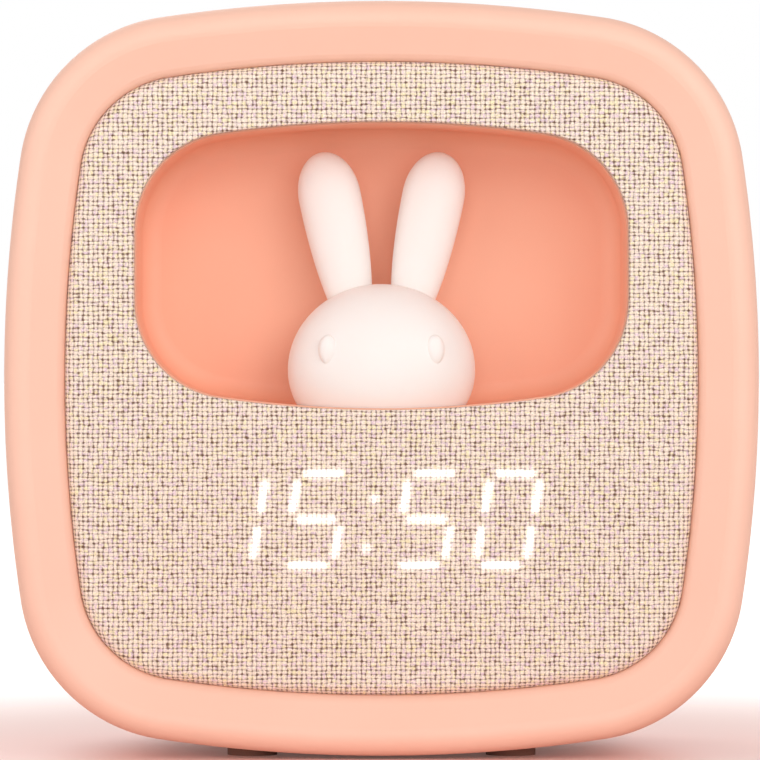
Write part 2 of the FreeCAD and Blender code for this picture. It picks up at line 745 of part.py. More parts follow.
def front_panel():
    """Stiff baffle under the cloth, with a skirt, the window and the display opening."""
    body = new_body("front_panel")
    plate(body, "panel_front", "shelf_front", case_outline, "panel_inset")
    half = value("case_width / 2 - panel_inset")
    round_edges(body, flat_edges(body.Tip.Shape, value("panel_front"), 0.9 * half, 2 * half),
                "panel_round")
    plate(body, "panel_back", "shelf_front", case_outline, "panel_inset + panel_skirt", cut=True)
    round_edges(body, flat_edges(body.Tip.Shape, value("panel_back"), 0.8 * half, 2 * half),
                "panel_inner_round")
    plate(body, "panel_front", "panel_back", window_outline, "window_cut", cut=True,
          up="window_up")
    plate(body, "panel_front", "panel_back", rectangle, "frame_width / 2 + frame_gap",
          "frame_height / 2 + frame_gap", cut=True, aside="display_aside", up="display_up")
    posts = (
        (PANEL_SCREWS, "panel_back", "shelf_front"),
        (NICHE_SCREWS, "panel_back", "niche_ears_front"),
        (DISPLAY_SCREWS, "panel_back", "frame_back"),
    )
    for places, low, high in posts:
        plate(body, f"{low} - root_sink", high, circles, places, "post_radius")
        plate(body, low, high, circles, places, "pilot_radius", cut=True)
    return body


def fabric_cover():
    """Cloth drawn over the panel's front, its rounded edge and its skirt."""
    body = new_body("fabric_cover")
    plate(body, "cloth_front", "shelf_front - cloth_gap", case_outline, "cloth_inset")
    half = value("case_width / 2 - cloth_inset")
    inside = "cloth_front + cloth_thickness"
    plate(body, inside, "shelf_front - cloth_gap", case_outline, "cloth_inset + cloth_thickness",
          cut=True)
    round_edges(body, flat_edges(body.Tip.Shape, value(inside), 0.8 * half, 2 * half),
                "cloth_round - cloth_thickness")
    round_edges(body, flat_edges(body.Tip.Shape, value("cloth_front"), 0.9 * half, 2 * half),
                "cloth_round")
    plate(body, "cloth_front", inside, window_outline, "window_cloth", cut=True, up="window_up")
    sketch = facing_sketch(body, "cloth_front + cloth_thickness / 2", up="window_up")
    window_outline(sketch, "window_edge_gap")
    window_outline(sketch, "window_cloth + collar_relief")
    feature(body, "Pad", sketch, "panel_back - cloth_gap - (cloth_front + cloth_thickness / 2)",
            against=True)
    return body


def niche_bowl():
    """Peach bowl behind the window, with four screw ears and two posts under its floor."""
    body = new_body("niche_bowl")
    back = "niche_back + niche_wall"
    plate(body, "panel_back", back, window_outline, "niche_wall", up="window_up")
    ears = corners("window_half_width + (niche_wall + niche_ear_reach) / 2", "niche_ear_spread",
                   "window_up")
    for x, z in ears:
        plate(body, "niche_ears_front", "niche_ears_back", rectangle,
              "(niche_wall + niche_ear_reach) / 2", "niche_ear_height / 2", x, z)
    for side in ("", "-"):
        slab(body, "lamp_top", "base_top + niche_post_sink", circles,
             [(f"{side}lamp_screw_spread", "head_middle")], "post_radius")
    plate(body, "panel_back", "niche_back", window_outline, "0", cut=True, up="window_up")
    reach = value("case_width")
    round_edges(body, flat_edges(body.Tip.Shape, value("niche_back"), 0, reach), "niche_round")
    round_edges(body, flat_edges(body.Tip.Shape, value(back), 0, reach),
                "niche_round + niche_wall")
    ellipsoid(body, "Subtractive", [f"{size} + base_gap" for size in
                                    ("head_half_width", "head_half_depth", "head_drop")],
              ("0", "head_middle", "head_up"), lower=True)
    plate(body, "niche_ears_front", "niche_ears_back", circles, NICHE_SCREWS,
          "screw_hole_radius", cut=True)
    for side in ("", "-"):
        slab(body, "lamp_top", "base_top", circles, [(f"{side}lamp_screw_spread", "head_middle")],
             "pilot_radius", cut=True)
    return body


def rabbit_diffuser():
    """Hollow silicone head with ears and raised eyes, open below, on a flat base flange."""
    body = new_body("rabbit_diffuser")
    head = ("head_half_width", "head_half_depth")
    centre = ("0", "head_middle", "head_up")
    ellipsoid(body, "Additive", head + ("head_rise",), centre)
    ellipsoid(body, "Additive", head + ("head_drop",), centre, lower=True)
    slab(body, "lamp_top - head_drop", "lamp_top", rectangle, "head_half_width * 2",
         "head_half_width * 2", "0", "head_middle", cut=True)
    slab(body, "lamp_top", "base_top", rectangle, "base_half_width", "base_half_depth",
         "0", "head_middle")
    for side in ("", "-"):
        place = (f"{side}ear_spread", "head_middle + ear_setback",
                 "head_up + ear_top_above_head")
        ear = ("ear_half_width", "ear_half_thickness")
        lean = f"{side}ear_lean"
        ellipsoid(body, "Additive", ear + ("ear_tip_rise",), place, lean=lean)
        ellipsoid(body, "Additive", ear + ("ear_root_length",), place, lower=True, lean=lean)
        ellipsoid(body, "Additive", ("eye_half_width", "eye_half_depth", "eye_half_height"),
                  (f"{side}eye_spread", "head_middle - head_half_depth + eye_setback",
                   "head_up + eye_above_head"), whole=True)
    inner = ("head_half_width - silicone_wall", "head_half_depth - silicone_wall")
    ellipsoid(body, "Subtractive", inner + ("head_rise - silicone_wall",), centre)
    ellipsoid(body, "Subtractive", inner + ("head_drop - silicone_wall",), centre, lower=True)
    return body


def light_parts():
    board = new_body("light_board")
    screws_at = [(f"{side}lamp_screw_spread", "head_middle") for side in ("", "-")]
    slab(board, "lamp_bottom", "lamp_top", rectangle, "lamp_half_width", "lamp_half_depth",
         "0", "head_middle")
    slab(board, "lamp_bottom", "lamp_top", circles, screws_at, "screw_hole_radius", cut=True)
    leds = new_body("light_leds")
    for place in (-1, 0, 1):
        slab(leds, "lamp_top", "lamp_top + led_height", rectangle, "led_size / 2",
             "led_size / 2", f"{place} * led_pitch", "head_middle")
    fixings = new_body("light_screws")
    slab(fixings, "lamp_bottom - screw_head_height", "lamp_bottom", circles, screws_at,
         "screw_head_radius")
    slab(fixings, "lamp_bottom", "base_top - pilot_gap", circles, screws_at,
         "screw_shank_radius")
    return [board, leds, fixings]


# The figures: seven bars each, with the slant of the real display

def bar_boxes(grow):
    """Corners of the seven bars of one figure and the two colon dots, upright, as numbers."""
    height, width = value("figure_height"), value("figure_width")
    stroke, gap = value("figure_stroke"), value("segment_gap")
    high, low, half = height / 2, -height / 2, stroke / 2
    bars = []
    for z in (high - half, 0, low + half):
        bars.append((-width / 2 + stroke / 2 + gap, width / 2 - stroke / 2 - gap,
                     z - half, z + half))
    for side in (-1, 1):
        x = side * (width / 2 - half)
        bars.append((x - half, x + half, half + gap, high - stroke - gap))
        bars.append((x - half, x + half, low + stroke + gap, -half - gap))
    return [(left - grow, right + grow, bottom - grow, top + grow)
            for left, right, bottom, top in bars]


def slanted_prism(left, right, low, high, slant, front, back):
    """A bar between two depths whose sides lean by the figure's slant."""
    shift = math.tan(math.radians(slant))
    points = [FreeCAD.Vector(x + z * shift, front, z)
              for x, z in ((left, low), (right, low), (right, high), (left, high))]
    face = Part.Face(Part.makePolygon(points + points[:1]))
    return face.extrude(FreeCAD.Vector(0, back - front, 0))


def figure_bars(grow, front, back):
    """All bars of the four figures and the colon, about the display's centre."""
    slant, pitch = value("figure_slant"), value("figure_pitch")
    middle = value("colon_pitch") / 2
    solids = []
    for centre in (-middle - pitch, -middle, middle, middle + pitch):
        for box in bar_boxes(grow):
            bar = slanted_prism(*box, slant, front, back)
            solids.append(bar.translated(FreeCAD.Vector(centre, 0, 0)))
    dot, rise = value("colon_dot") / 2 + grow, value("colon_rise")
    for z in (-rise, rise):
        solids.append(slanted_prism(-dot, dot, z - dot, z + dot, slant, front, back))
    return solids


def plain_part(label, shape, aside="0", up="case_middle_up"):
    made = doc.addObject("Part::Feature", label)
    made.Label = label
    made.Shape = shape
    made.Placement.Base = FreeCAD.Vector(value(aside), 0, value(up))
    return made


def display_parts():
    front, back = value("frame_front"), value("frame_back")
    width, height = value("frame_width"), value("frame_height")
    block = Part.makeBox(width, back - front, height,
                         FreeCAD.Vector(-width / 2, front, -height / 2))
    holes = figure_bars(value("segment_clearance"), front, back)
    up = "case_middle_up + display_up"
    frame = plain_part("segment_frame", block.cut(holes), "display_aside", up)
    lit_back = front + value("segment_depth")
    bars = plain_part("digit_segments", Part.makeCompound(figure_bars(0, front, lit_back)),
                      "display_aside", up)
    board = new_body("display_board")
    plate(board, "frame_back", "display_board_back", rectangle, "display_board_width / 2",
          "display_board_height / 2", aside="display_aside", up="display_up")
    plate(board, "frame_back", "display_board_back", circles, DISPLAY_SCREWS,
          "screw_hole_radius", cut=True)
    return [frame, bars, board]


def control_parts():
    """Button caps with their switch plungers, the switches and the button board."""
    made = []
    for (name, _), (x, z) in zip(list(ROUND_BUTTONS.items()) + [("light_button", 0)],
                                 BUTTON_PLACES):
        cap = new_body(name, aside=x, up=f"case_middle_up + {z}")
        if name == "light_button":
            outline, head = pill, ["top_button_half_length", "button_radius"]
            wide = ["top_button_half_length + button_flange", "button_radius + button_flange"]
        else:
            outline, head = circles, [[("0", "0")], "button_radius"]
            wide = [[("0", "0")], "button_radius + button_flange"]
        plate(cap, "button_flange_back", "button_top", outline, *head)
        edges = flat_edges(cap.Tip.Shape, value("button_top"), 0, 99)
        round_edges(cap, edges, "button_round")
        plate(cap, "button_flange_front", "button_flange_back", outline, *wide)
        plate(cap, "plunger_top", "button_flange_front", circles, [("0", "0")],
              "button_stem_radius")
        plunger = new_body(name + "_plunger", aside=x, up=f"case_middle_up + {z}")
        plate(plunger, "plunger_top - plunger_length", "plunger_top", circles, [("0", "0")],
              "plunger_radius")
        made += [cap, plunger]
    switches = new_body("tact_switches")
    for x, z in BUTTON_PLACES:
        plate(switches, "board_rear", "switch_top", rectangle, "switch_size / 2",
              "switch_size / 2", x, z)
    plate(switches, "plunger_top - plunger_length - 1.5 * button_travel", "switch_top", circles,
          BUTTON_PLACES, "plunger_radius + button_gap", cut=True)
    board = new_body("button_board")
    plate(board, "board_front", "board_rear", rectangle, "button_board_width / 2",
          "button_board_height / 2", "0", "recess_up")
    plate(board, "board_front", "board_rear", circles, BUTTON_BOARD_SCREWS, "screw_hole_radius",
          cut=True)
    return made + [switches, board]


def main_board_parts():
    board = new_body("main_board")
    plate(board, "board_front", "board_rear", rectangle, "main_board_width / 2",
          "main_board_height / 2", "0", "main_board_up")
    plate(board, "board_front", "board_rear", circles, MAIN_BOARD_SCREWS, "screw_hole_radius",
          cut=True)
    chips = new_body("board_chips")
    plate(chips, "board_rear", "board_rear + chip_height", rectangle, "chip_size / 2",
          "chip_size / 2", "0", "main_board_up")
    for side in ("", "-"):
        plate(chips, "board_rear", "board_rear + chip_height", rectangle, "small_chip_width / 2",
              "small_chip_length / 2", f"{side}(chip_size + chip_gap)", "main_board_up - chip_drop")
    socket = new_body("usb_socket", aside="port_aside", up="case_middle_up + port_up")
    mouth = "rear_plane - socket_inset"
    plate(socket, "board_rear", mouth, bulged_socket, "0")
    plate(socket, "board_rear + socket_floor", mouth, bulged_socket, "-socket_skin", cut=True)
    plate(socket, "board_rear + socket_floor - root_sink", f"{mouth} - socket_tongue_inset", rectangle,
          "socket_tongue_half_width", "socket_tongue_half_height")
    return [board, chips, socket] + alarm_switch()


def alarm_switch():
    """Slide switch on the board and its thumb piece, at rest at the left end of its travel."""
    middle, up = "slider_aside + slider_travel / 2", "case_middle_up + port_up"
    switch = new_body("alarm_switch_body", aside=middle, up=up)
    top = "board_rear + slider_switch_depth"
    plate(switch, "board_rear", top, rectangle, "slider_switch_width / 2",
          "slider_switch_height / 2")
    plate(switch, f"{top} - slider_stem_depth", top, rectangle,
          "slider_stem_half + slider_travel / 2 + slider_gap", "slider_stem_half + slider_gap",
          cut=True)
    slider = new_body("alarm_slider", aside="slider_aside", up=up)
    plate(slider, "slider_floor + slider_gap", "rear_plane - slider_gap", rectangle,
          "slider_half_width", "slider_half_height")
    plate(slider, f"{top} - slider_stem_depth + slider_gap", "slider_floor + slider_gap", rectangle,
          "slider_stem_half", "slider_stem_half")
    for place in (-1, 0, 1):
        plate(slider, "rear_plane - slider_gap - slider_rib_depth", "rear_plane - slider_gap", rectangle,
              "slider_rib_half", "slider_half_height", f"{place} * slider_rib_pitch", "0", cut=True)
    return [switch, slider]


def battery_parts():
    """Round lithium cell lying in a cradle on the front of the main board."""
    cradle = new_body("battery_cradle", back="cell_middle", up="case_middle_up + cell_up")
    reach = "cell_radius + cell_gap + cradle_wall"
    half = "cell_length / 2 + cell_cap_length + cell_gap + cradle_end"
    plate(cradle, "0", reach, rectangle, half, reach)
    plate(cradle, "-cell_radius / 2", "0", rectangle, half, reach)
    sketch = new_sketch(cradle, "YZ_Plane", "-(cell_length / 2 + cell_cap_length + cell_gap)")
    circles(sketch, [("0", "0")], "cell_radius + cell_gap")
    hollow = feature(cradle, "Pocket", sketch, "cell_length + 2 * (cell_cap_length + cell_gap)")
    hollow.Reversed = True
    doc.recompute()
    gap = "cell_radius + cell_gap"
    plate(cradle, "-cell_radius / 2", "0", rectangle,
          "cell_length / 2 + cell_cap_length + cell_gap", gap, cut=True)
    cell = new_body("battery_cell", back="cell_middle", up="case_middle_up + cell_up")
    for radius, length in (("cell_radius", "cell_length"),
                           ("cell_cap_radius", "cell_length + 2 * cell_cap_length")):
        sketch = new_sketch(cell, "YZ_Plane", f"-({length}) / 2")
        circles(sketch, [("0", "0")], radius)
        feature(cell, "Pad", sketch, length)
    contacts = new_body("battery_contacts", back="cell_middle", up="case_middle_up + cell_up")
    inner_end = "cell_length / 2 + cell_cap_length"
    for start in (inner_end, f"-({inner_end} + cell_gap)"):
        sketch = new_sketch(contacts, "YZ_Plane", start)
        rectangle(sketch, "contact_half_width", "contact_half_width")
        feature(contacts, "Pad", sketch, "cell_gap")
    return [cradle, cell, contacts]


def spun(body, corner_list):
    """A solid of revolution about the Y axis. Corners are depth and radius."""
    sketch = new_sketch(body, "YZ_Plane", "0")
    polygon(sketch, corner_list)
    doc.recompute()
    made = body.newObject("PartDesign::Revolution", body.Label + "_spin")
    made.Profile = sketch
    made.ReferenceAxis = (sketch, ["H_Axis"])
    made.Angle = 360
    doc.recompute()
    return made


def speaker_parts():
    """Loudspeaker that faces the grille: steel basket, paper cone and magnet."""
    place = {"back": "speaker_face", "up": "case_middle_up + speaker_up"}
    frame = new_body("speaker_frame", **place)
    rim = "speaker_flange_thickness"
    spun(frame, [
        ("0", "speaker_basket_radius"), ("0", "speaker_radius"), (f"-{rim}", "speaker_radius"),
        (f"-{rim}", "speaker_basket_radius + speaker_skin"),
        ("-speaker_basket_depth", "speaker_throat_radius + speaker_skin"),
        ("-speaker_basket_depth", "cone_coil_radius + basket_gap"),
        ("-speaker_basket_depth + speaker_skin", "cone_coil_radius + basket_gap"),
        ("-speaker_basket_depth + speaker_skin", "speaker_throat_radius"),
        (f"-{rim}", "speaker_basket_radius"),
    ])
    for x, _ in SPEAKER_SCREWS:
        plate(frame, f"-{rim}", "0", circles, [(x, "0")], "speaker_ear")
        plate(frame, f"-{rim}", "0", circles, [(x, "0")], "screw_hole_radius", cut=True)
    magnet = new_body("speaker_magnet", **place)
    spun(magnet, [
        ("-speaker_basket_depth", "0"), ("-speaker_basket_depth", "magnet_radius"),
        ("-speaker_basket_depth - magnet_thickness", "magnet_radius"),
        ("-speaker_basket_depth - magnet_thickness", "0"),
    ])
    cone = new_body("speaker_cone", **place)
    spun(cone, [
        ("-cone_paper", "cone_surround_radius"), ("-2 * cone_paper", "cone_surround_radius"),
        ("-cone_paper - cone_depth", "cone_coil_radius"),
        ("-cone_paper - cone_depth + 1", "0"), ("-cone_depth + 1", "0"),
        ("-cone_depth", "cone_coil_radius"),
    ])
    return [frame, magnet, cone]


# Leads that the case holds all the way, of straight runs and tangent arcs

def lead(label, points):
    """A round lead along a route: each corner is an arc of nearly half the shorter run."""
    corners_at = [FreeCAD.Vector(*point) for point in points]
    edges, start = [], corners_at[0]
    for before, corner, after in zip(corners_at, corners_at[1:], corners_at[2:]):
        incoming, outgoing = corner - before, after - corner
        trim = 0.45 * min(incoming.Length, outgoing.Length)
        enter = corner - incoming.normalize() * trim
        leave = corner + outgoing.normalize() * trim
        turn = incoming.getAngle(outgoing)
        radius = trim / math.tan(turn / 2)
        bisector = (leave - corner) + (enter - corner)
        centre = corner + bisector.normalize() * (radius / math.cos(turn / 2))
        middle = centre + (corner - centre).normalize() * radius
        edges.append(Part.LineSegment(start, enter).toShape())
        edges.append(Part.Arc(enter, middle, leave).toShape())
        print(f"{label}: bend radius {radius:.1f} mm")
        start = leave
    edges.append(Part.LineSegment(start, corners_at[-1]).toShape())
    path = Part.Wire(edges)
    direction = corners_at[1] - corners_at[0]
    circle = Part.Circle(corners_at[0], direction, value("lead_radius"))
    section = Part.Wire(circle.toShape())
    tube = path.makePipeShell([section], True, False)
    expected = math.pi * value("lead_radius") ** 2 * path.Length
    print(f"{label}: length {path.Length:.1f} mm, volume ratio {tube.Volume / expected:.4f}")
    return plain_part(label, tube, up="case_middle_up")


def leads():
    """Leads between the boards, each from face to face. The routes are chosen by hand."""
    lamp_y, lamp_z = value("head_middle + lamp_half_depth") - 2.5, value("lamp_bottom")
    display_y, board_y = value("display_board_back"), value("board_front")
    flange_y = value("speaker_face - speaker_flange_thickness")
    tag_x, ring = 6.0, value("(speaker_radius + speaker_basket_radius + speaker_skin) / 2")
    tag_z = value("speaker_up") + math.sqrt(ring ** 2 - tag_x ** 2)
    light_lead = lead("light_lead", [
        (12, lamp_y, lamp_z), (12, lamp_y, lamp_z - 8), (13, lamp_y + 6, lamp_z - 14),
        (15, -1, lamp_z - 14.5), (17.5, 7, lamp_z - 9), (19.5, 12, lamp_z), (20, 14, -1),
        (20, 15.5, 9), (20, board_y - 8.5, 17), (20, board_y, 17),
    ])
    display_lead = lead("display_lead", [
        (-20, display_y, -26), (-20, display_y + 7, -26), (-19.5, -11, -24), (-19, -2, -20),
        (-18.5, 6, -13), (-18.5, 11, -3), (-19, 14, 6), (-20, board_y - 8.5, 14),
        (-20, board_y, 14),
    ])
    speaker_lead = lead("speaker_lead", [
        (-tag_x, flange_y, tag_z), (-tag_x, flange_y - 7, tag_z), (-7, 21, 4.5), (-9, 15, 9),
        (-11, 13, 16), (-12, board_y - 8.5, 23), (-12, board_y, 23),
    ])
    return [light_lead, display_lead, speaker_lead]


parts = [front_case(), rear_case(), rubber_feet(), front_panel(), fabric_cover(), niche_bowl(),
         rabbit_diffuser()]
parts += light_parts() + display_parts() + control_parts() + main_board_parts()
parts += battery_parts() + speaker_parts()
parts += [
    screws("case_screws", CASE_SCREWS, "rear_plane - case_screw_well",
           "seam - case_post_gap - case_screw_length + pilot_gap", head="case"),
    screws("panel_screws", PANEL_SCREWS, "shelf_back", "panel_back + pilot_gap"),
    screws("niche_screws", NICHE_SCREWS, "niche_ears_back", "panel_back + pilot_gap"),
    screws("display_screws", DISPLAY_SCREWS, "display_board_back", "panel_back + pilot_gap"),
    screws("board_screws", BUTTON_BOARD_SCREWS + MAIN_BOARD_SCREWS, "board_front",
           "recess_inside - pilot_gap"),
    screws("speaker_screws", SPEAKER_SCREWS, "speaker_face - speaker_flange_thickness",
           "wall_inside"),
]
parts += leads()

doc.recompute()
os.makedirs("parts", exist_ok=True)
broken = [item.Label for item in doc.Objects if {"Invalid", "Error"} & set(item.State)]
broken += [part.Label for part in parts if part.Shape.isNull() or not part.Shape.isValid()]
if broken:
    raise SystemExit("not sound: " + ", ".join(broken))
for part in parts:
    part.Shape.exportStep(f"parts/{part.Label}.step")
    box = part.Shape.BoundBox
    print(f"{part.Label}: {len(part.Shape.Solids)} solids, {part.Shape.Volume:.1f} mm3, "
          f"x {box.XMin:.2f} to {box.XMax:.2f}, y {box.YMin:.2f} to {box.YMax:.2f}, "
          f"z {box.ZMin:.2f} to {box.ZMax:.2f}")
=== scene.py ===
# %% [markdown]
# # Kids alarm clock with night light
# The clock stands on a table and is seen straight from the front. A peach shell with soft, bulging
# sides holds a padded front of woven cloth. A window in the cloth opens into a deeper peach bowl,
# where a white silicone rabbit head is the night light, and the time glows through the cloth.
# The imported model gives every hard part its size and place. This script gives them their finish,
# models the cloth as real cloth, and sets the light and the camera.

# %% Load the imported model
import math

import bmesh
import bpy
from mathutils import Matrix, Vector


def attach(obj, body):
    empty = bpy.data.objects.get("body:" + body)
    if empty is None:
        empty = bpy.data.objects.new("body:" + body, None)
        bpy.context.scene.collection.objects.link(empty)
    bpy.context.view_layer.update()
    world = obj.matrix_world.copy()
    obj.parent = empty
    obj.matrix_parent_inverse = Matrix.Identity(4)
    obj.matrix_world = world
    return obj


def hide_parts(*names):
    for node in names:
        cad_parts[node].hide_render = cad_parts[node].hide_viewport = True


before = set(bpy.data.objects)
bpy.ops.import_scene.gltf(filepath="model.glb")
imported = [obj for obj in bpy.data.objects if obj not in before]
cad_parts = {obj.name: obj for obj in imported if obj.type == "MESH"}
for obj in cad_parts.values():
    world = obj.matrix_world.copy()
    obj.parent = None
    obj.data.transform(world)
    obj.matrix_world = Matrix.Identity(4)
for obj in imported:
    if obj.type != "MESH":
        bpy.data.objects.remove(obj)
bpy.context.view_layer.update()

MM = 0.001

# %% [markdown]
# Colours are written as the hex values that a paint chart or a photo editor shows. The renderer
# works in linear light, so one function turns each value over. A second small function adds any
# shader node with its settings and its links, which keeps each material below short to read.

# %% Colours and nodes


def linear(code):
    """An sRGB hex colour as linear red, green, blue and alpha."""
    parts = [int(code[k:k + 2], 16) / 255 for k in (0, 2, 4)]
    return [c / 12.92 if c <= 0.04045 else ((c + 0.055) / 1.055) ** 2.4 for c in parts] + [1.0]


def node(tree, kind, inputs=None, **settings):
    """Adds one shader node, sets it up, and links or fills its inputs."""
    made = tree.nodes.new("ShaderNode" + kind)
    for key, value in settings.items():
        setattr(made, key, value)
    for key, value in (inputs or {}).items():
        if isinstance(value, bpy.types.NodeSocket):
            tree.links.new(value, made.inputs[key])
        else:
            made.inputs[key].default_value = value
    return made


def start(name, **sockets):
    """A new material with one Principled shader, its uniform values on its own sockets."""
    made = bpy.data.materials.new(name)
    made.use_nodes = True
    tree = made.node_tree
    tree.nodes.clear()
    values = {key.replace("_", " "): value for key, value in sockets.items()}
    shader = node(tree, "BsdfPrincipled", values)
    node(tree, "OutputMaterial", {"Surface": shader.outputs[0]})
    return made, tree, shader


print("peach in linear light:", [round(c, 3) for c in linear("F7CBBC")])

# %% [markdown]
# Most parts of a clock are moulded plastic. A mould leaves a fine grain on the surface, and the
# colour of the resin drifts a little over the part. Two noise patterns on Object coordinates give
# both: a broad one for the drift and a fine one for the grain. The real grain is near 0.15 mm,
# finer than one pixel here, so it is drawn at 0.4 mm and kept shallow.

# %% Moulded and plated surfaces


def grained(name, colour, drift, grain, depth, **sockets):
    """A surface with a fine grain and a slow drift between two close colours; sizes in mm."""
    made, tree, shader = start(name, **sockets)
    place = node(tree, "TexCoord").outputs["Object"]
    broad = node(tree, "TexNoise", {"Vector": place, "Scale": 1 / (22 * MM), "Detail": 2.0})
    tone = node(tree, "Mix", {0: broad.outputs[0], 6: linear(colour), 7: linear(drift)},
                data_type="RGBA")
    fine = node(tree, "TexNoise", {"Vector": place, "Scale": 1 / (grain * MM), "Detail": 2.0})
    bump = node(tree, "Bump", {"Height": fine.outputs[0], "Distance": depth * MM})
    tree.links.new(tone.outputs[2], shader.inputs["Base Color"])
    tree.links.new(bump.outputs[0], shader.inputs["Normal"])
    return made


finishes = {
    # ABS with a fine spark-eroded grain: soft, broad highlights and no gloss.
    "peach_shell": grained("moulded_abs_peach", "F8C6B0", "F6C1AA", 0.4, 0.004,
                           Roughness=0.5, IOR=1.53),
    # Painted shade: the bowl is a deeper, more saturated peach than the shell, standing in for the
    # warm shade inside the recess.
    "peach_bowl": grained("moulded_abs_peach_painted_recess_shade", "FBBB9E", "F9B597", 0.4, 0.003,
                          Roughness=0.55, IOR=1.53),
    # Caps are polished a little by fingers, so they are smoother than the shell.
    "peach_button": grained("moulded_abs_peach_cap", "F3B49B", "F0AE94", 0.5, 0.003,
                            Roughness=0.38, IOR=1.53),
    "white_plastic": grained("moulded_abs_white", "EDEBE6", "E6E3DD", 0.4, 0.004,
                             Roughness=0.5, IOR=1.53),
    "reflector_white": grained("moulded_white_reflector", "F4F3EF", "EFEDE8", 0.4, 0.003,
                               Roughness=0.6, IOR=1.5),
    "black_plastic": grained("moulded_nylon_black", "1E1E20", "262628", 0.4, 0.005,
                             Roughness=0.45, IOR=1.53),
    "led_body": grained("moulded_led_body", "F1EBC8", "EFE6B4", 0.5, 0.002,
                        Roughness=0.3, IOR=1.52),
    # Clear acrylic guides look milky from the side, because they are filled to spread the light.
    "light_guide": grained("milky_acrylic", "F2F4F5", "E7EBEE", 0.6, 0.002,
                           Roughness=0.2, IOR=1.49, Transmission_Weight=0.35),
    # Rubber is dull and slightly dusty. Its warm brown is painted shadow: it matches the contact
    # shadow under the clock, so the feet read as that shadow.
    "foot_rubber": grained("silicone_rubber_painted_shadow_brown", "93695A", "9A7262", 0.5, 0.006,
                           Roughness=0.8, IOR=1.41),
    # Sintered ferrite: dark, with a faint metallic sparkle.
    "magnet": grained("sintered_ferrite", "2B2C2F", "37383B", 0.3, 0.008,
                      Roughness=0.5, IOR=2.2),
    # Nickel plating over steel mirrors its surroundings softly.
    "plated_steel": grained("nickel_plated_steel", "C9C6BF", "BDBAB4", 0.3, 0.002,
                            Roughness=0.28, Metallic=1.0),
    "plated_screw": grained("zinc_plated_steel", "B4B6B8", "9EA1A6", 0.3, 0.004,
                            Roughness=0.36, Metallic=1.0),
    # The cell's shrink wrap is thin film pulled tight, glossy with small ripples.
    "cell_wrap": grained("shrink_film_blue", "3F6E9C", "38648F", 2.0, 0.03,
                         Roughness=0.25, IOR=1.5),
    # Soft lead sheathing, as extruded, is smooth and slightly waxy.
    "lead_sheath": grained("extruded_lead_sheath", "D8D3CC", "CEC8C0", 0.6, 0.002,
                           Roughness=0.4, IOR=1.5),
}
print("surfaces made:", len(finishes))

# %% [markdown]
# Silicone for a lamp is milky: light goes in, scatters a few millimetres and comes out again, so
# shadows on it are soft and thin edges look warm. A little subsurface scatter gives that. The real
# surface is matt from a blasted mould, with the finest of grain. The lamp inside is on at its
# lowest step, so the whole head gives off a faint warm light.

# %% Milky silicone
finishes["milk_silicone"] = grained(
    "moulded_milky_silicone", "F2ECE8", "F0E8E3", 0.5, 0.002, Roughness=0.42, IOR=1.41,
    Subsurface_Weight=0.2, Subsurface_Scale=0.003, Subsurface_Radius=(1.0, 0.8, 0.7),
    Emission_Color=linear("FFEEE4"), Emission_Strength=0.03)

# %% [markdown]
# A circuit board is glass-fibre laminate under a green lacquer, with thin copper tracks that show
# as lighter lines. A brick pattern gives rows of broken lines at the usual 2.54 mm spacing.
# A speaker cone is pressed paper pulp, whose fibres show as an uneven grain.

# %% Circuit board and pressed paper
board, tree, shader = start("lacquered_glass_laminate", Roughness=0.3, IOR=1.5)
place = node(tree, "TexCoord").outputs["Object"]
turned = node(tree, "Mapping", {"Vector": place, "Rotation": (math.radians(90), 0, 0)})
TRACK_PITCH = 2.54
tracks = node(tree, "TexBrick", {
    "Vector": turned.outputs[0], "Color1": linear("1F5A3A"), "Color2": linear("1B5034"),
    "Mortar": linear("4C8A55"), "Scale": 1 / (TRACK_PITCH * 4 * MM), "Mortar Size": 0.012,
    "Brick Width": 0.9, "Row Height": 0.25})
tree.links.new(tracks.outputs[0], shader.inputs["Base Color"])
relief = node(tree, "Bump", {"Height": tracks.outputs[1], "Distance": 0.03 * MM})
tree.links.new(relief.outputs[0], shader.inputs["Normal"])
finishes["circuit_board"] = board

cone, tree, shader = start("pressed_paper_cone", Roughness=0.95, IOR=1.45)
place = node(tree, "TexCoord").outputs["Object"]
pulp = node(tree, "TexNoise", {"Vector": place, "Scale": 1 / (1.2 * MM), "Detail": 6.0})
tone = node(tree, "Mix", {0: pulp.outputs[0], 6: linear("2A2826"), 7: linear("4A4642")},
            data_type="RGBA")
fibre = node(tree, "Bump", {"Height": pulp.outputs[0], "Distance": 0.05 * MM})
tree.links.new(tone.outputs[2], shader.inputs["Base Color"])
tree.links.new(fibre.outputs[0], shader.inputs["Normal"])
finishes["cone_paper"] = cone

# %% [markdown]
# The shell's outline is a square whose four sides bulge: four wide arcs joined by four corner arcs.
# Offsets of such an outline keep the same arc centres, so a point is found by the direction that
# the edge faces there. The cloth follows this outline at its rim and a second one at the window.

# %% The two outlines
CASE_UP = 75.7
CASE = {"half": (75.0, 75.0), "wide": (298.0, 298.0), "corner": 32.8, "up": 0.0}
WINDOW = {"half": (48.9, 28.4), "wide": (900.0, 223.0), "corner": 19.4, "up": 22.4}
SIDE_STEPS, CORNER_STEPS = 12, 24


